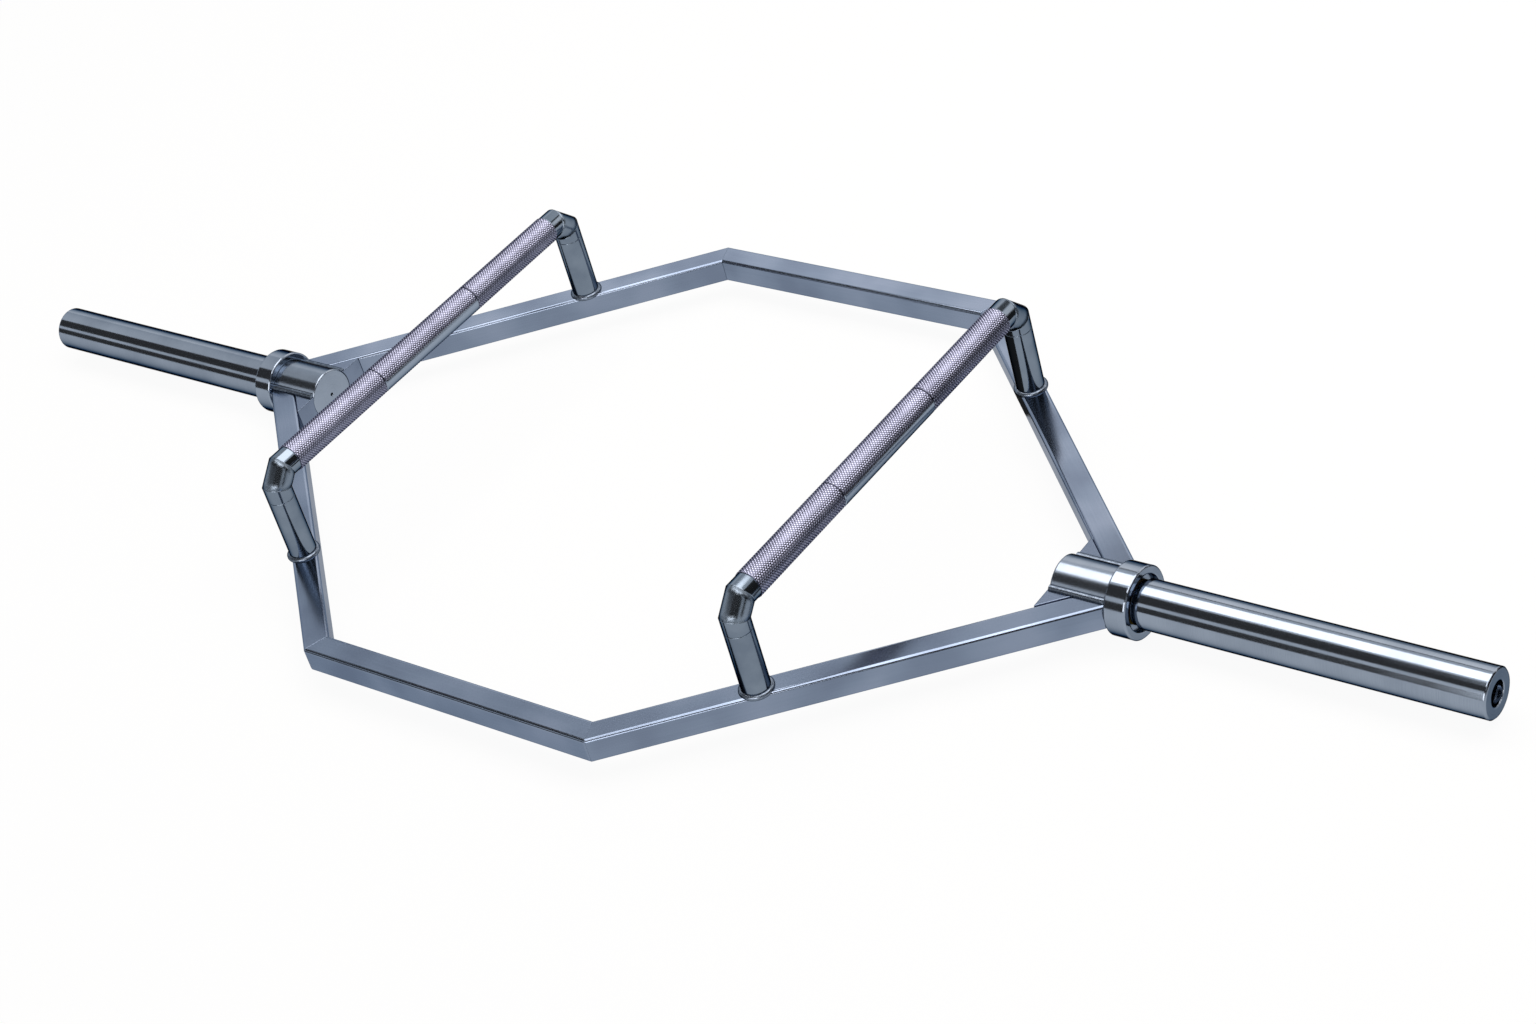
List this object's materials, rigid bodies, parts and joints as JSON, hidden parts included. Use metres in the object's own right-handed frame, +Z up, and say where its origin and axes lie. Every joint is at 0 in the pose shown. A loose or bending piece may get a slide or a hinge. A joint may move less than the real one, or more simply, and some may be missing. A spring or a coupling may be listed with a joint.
{
  "type": "hex trap bar",
  "caption": "Hexagonal deadlift bar of square steel tube with raised knurled grips on mitred legs, and turning plate sleeves on spindles outside fixed collars.",
  "frame": {"origin": "on the floor, under the middle of the bar", "axes": "+X along the sleeve axis to the right, +Y along the grips to the back, +Z up"},
  "size_m": [1.894, 0.748, 0.1705],
  "materials": {
    "frame_tube": "blue-grey satin steel, softly reflective",
    "handle_tube": "blue-grey polished steel",
    "gusset": "blue-grey satin steel",
    "hub": "turned and polished steel",
    "collar": "turned and polished steel",
    "sleeve": "turned and polished steel",
    "spindle": "ground steel",
    "bronze": "oiled sintered bronze",
    "fastener": "zinc plated steel",
    "knurled_grip": "fine diamond knurl with a violet-grey sheen",
    "weld_bead": "dressed and polished weld bead"
  },
  "bodies": {
    "frame": {"front_tube": "frame_tube", "back_tube": "frame_tube", "left_front_tube": "frame_tube", "left_back_tube": "frame_tube", "right_front_tube": "frame_tube", "right_back_tube": "frame_tube", "left_hub": "hub", "right_hub": "hub", "left_collar": "collar", "right_collar": "collar", "left_front_gusset": "gusset", "left_back_gusset": "gusset", "right_front_gusset": "gusset", "right_back_gusset": "gusset", "left_hub_welds": "weld_bead", "right_hub_welds": "weld_bead", "left_spindle": "spindle", "right_spindle": "spindle", "left_thrust_washer": "bronze", "right_thrust_washer": "bronze", "left_retaining_washer": "fastener", "right_retaining_washer": "fastener", "left_cap_screw": "fastener", "right_cap_screw": "fastener", "left_grip": "knurled_grip", "right_grip": "knurled_grip", "left_front_elbow_grip_end": "handle_tube", "left_front_elbow_middle": "handle_tube", "left_front_elbow_leg_end": "handle_tube", "left_back_elbow_grip_end": "handle_tube", "left_back_elbow_middle": "handle_tube", "left_back_elbow_leg_end": "handle_tube", "right_front_elbow_grip_end": "handle_tube", "right_front_elbow_middle": "handle_tube", "right_front_elbow_leg_end": "handle_tube", "right_back_elbow_grip_end": "handle_tube", "right_back_elbow_middle": "handle_tube", "right_back_elbow_leg_end": "handle_tube", "left_front_leg": "handle_tube", "left_back_leg": "handle_tube", "right_front_leg": "handle_tube", "right_back_leg": "handle_tube", "left_leg_welds": "weld_bead", "right_leg_welds": "weld_bead"},
    "left_sleeve": {"left_sleeve": "sleeve", "left_inner_bushing": "bronze", "left_outer_bushing": "bronze"},
    "right_sleeve": {"right_sleeve": "sleeve", "right_inner_bushing": "bronze", "right_outer_bushing": "bronze"}
  },
  "joints": [
    {"name": "left_sleeve_spin", "type": "hinge", "parent": "frame", "child": "left_sleeve", "pos_m": [-0.587, 0, 0.037], "axis": [-1, 0, 0], "continuous": true},
    {"name": "right_sleeve_spin", "type": "hinge", "parent": "frame", "child": "right_sleeve", "pos_m": [0.587, 0, 0.037], "axis": [1, 0, 0], "continuous": true}
  ]
}
